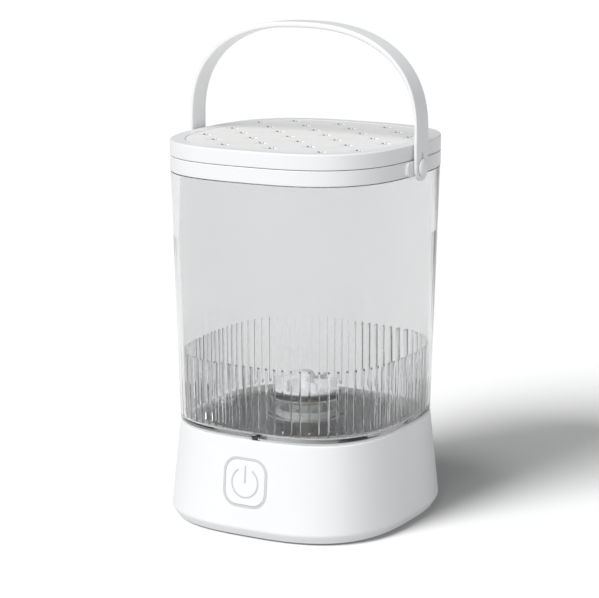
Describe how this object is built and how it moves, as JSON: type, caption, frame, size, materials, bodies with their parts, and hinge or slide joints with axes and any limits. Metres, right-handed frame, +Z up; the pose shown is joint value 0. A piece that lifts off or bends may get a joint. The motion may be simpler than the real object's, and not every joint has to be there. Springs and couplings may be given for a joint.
{
  "type": "brush cleaner",
  "caption": "Rechargeable brush washer: clear lift-off tank with ribbed foot and impeller on a white drive base, slitted lid and a swinging bail handle.",
  "frame": {"origin": "on the floor under the centre of the body, at the undersides of the four feet", "axes": "+Z up; the power button faces -Y, the charging socket faces +Y and the handle's hinge line runs along X"},
  "size_m": [0.1378, 0.133, 0.2587],
  "materials": {
    "white_plastic": "satin moulded, white",
    "grey_plastic": "satin, light grey",
    "clear_plastic": "polished, clear",
    "white_silicone": "soft matt, white",
    "dark_rubber": "matt, dark grey",
    "black_plastic": "matt",
    "steel": "bright zinc or nickel",
    "brass": "turned",
    "gear_plastic": "natural acetal",
    "board_green": "lacquered board",
    "cell_wrap": "shrink wrap",
    "wire_red": "insulated wire",
    "wire_black": "insulated wire"
  },
  "bodies": {
    "base": {"base_shell": "white_plastic", "base_cover": "white_plastic", "foot_1": "dark_rubber", "foot_2": "dark_rubber", "foot_3": "dark_rubber", "foot_4": "dark_rubber", "cover_screw_1": "steel", "cover_screw_2": "steel", "cover_screw_3": "steel", "cover_screw_4": "steel", "bracket_screw_1": "steel", "bracket_screw_2": "steel", "bracket_screw_3": "steel", "deck_mat": "dark_rubber", "button_bezel": "grey_plastic", "motor_bracket": "steel", "motor_can": "steel", "motor_end_cap": "black_plastic", "motor_screw_1": "steel", "motor_screw_2": "steel", "lower_bearing": "brass", "output_bearing": "brass", "deck_seal": "black_plastic", "battery_cell": "cell_wrap", "battery_cradle": "white_plastic", "control_board": "board_green", "tact_switch": "black_plastic", "board_screw_1": "steel", "board_screw_2": "steel", "charge_board": "board_green", "usb_port": "steel", "charge_screw_1": "steel", "charge_screw_2": "steel", "motor_lead": "wire_red", "battery_lead": "wire_red", "charge_lead": "wire_black"},
    "button": {"power_button": "white_plastic", "switch_plunger": "black_plastic"},
    "output": {"drive_gear": "gear_plastic", "output_shaft": "steel", "drive_dog": "white_plastic"},
    "rotor": {"motor_shaft": "steel", "pinion_gear": "brass"},
    "tank": {"tank_shell": "clear_plastic", "rim_ring": "white_plastic", "pivot_pin_left": "white_plastic", "pivot_pin_right": "white_plastic", "tank_bush": "brass", "shaft_seal": "white_silicone"},
    "impeller": {"impeller": "white_plastic", "impeller_shaft": "steel", "driven_dog": "white_plastic"},
    "lid": {"lid_frame": "white_plastic", "brush_pad": "white_silicone", "lid_seal": "white_silicone"},
    "handle": {"handle": "white_plastic"}
  },
  "joints": [
    {"name": "tank_lift", "type": "slide", "parent": "base", "child": "tank", "axis": [0, 0, 1], "range_m": [0, 0.04]},
    {"name": "lid_lift", "type": "slide", "parent": "tank", "child": "lid", "axis": [0, 0, 1], "range_m": [0, 0.014]},
    {"name": "handle_swing", "type": "hinge", "parent": "tank", "child": "handle", "pos_m": [0, 0, 0.188], "axis": [1, 0, 0], "range_deg": [-97, 97]},
    {"name": "button_press", "type": "slide", "parent": "base", "child": "button", "axis": [0, 1, 0], "range_m": [0, 0.0008], "stiffness_N_per_m": 600},
    {"name": "output_spin", "type": "hinge", "parent": "base", "child": "output", "pos_m": [0, 0, 0.043], "axis": [0, 0, 1], "continuous": true},
    {"name": "motor_spin", "type": "hinge", "parent": "base", "child": "rotor", "pos_m": [-0.03, 0, 0.043], "axis": [0, 0, 1], "continuous": true},
    {"name": "impeller_spin", "type": "hinge", "parent": "tank", "child": "impeller", "pos_m": [0, 0, 0.068], "axis": [0, 0, 1], "continuous": true}
  ],
  "couplings": [
    {"joint": "motor_spin", "follows": "output_spin", "ratio": -3},
    {"joint": "impeller_spin", "follows": "output_spin", "ratio": 1}
  ]
}
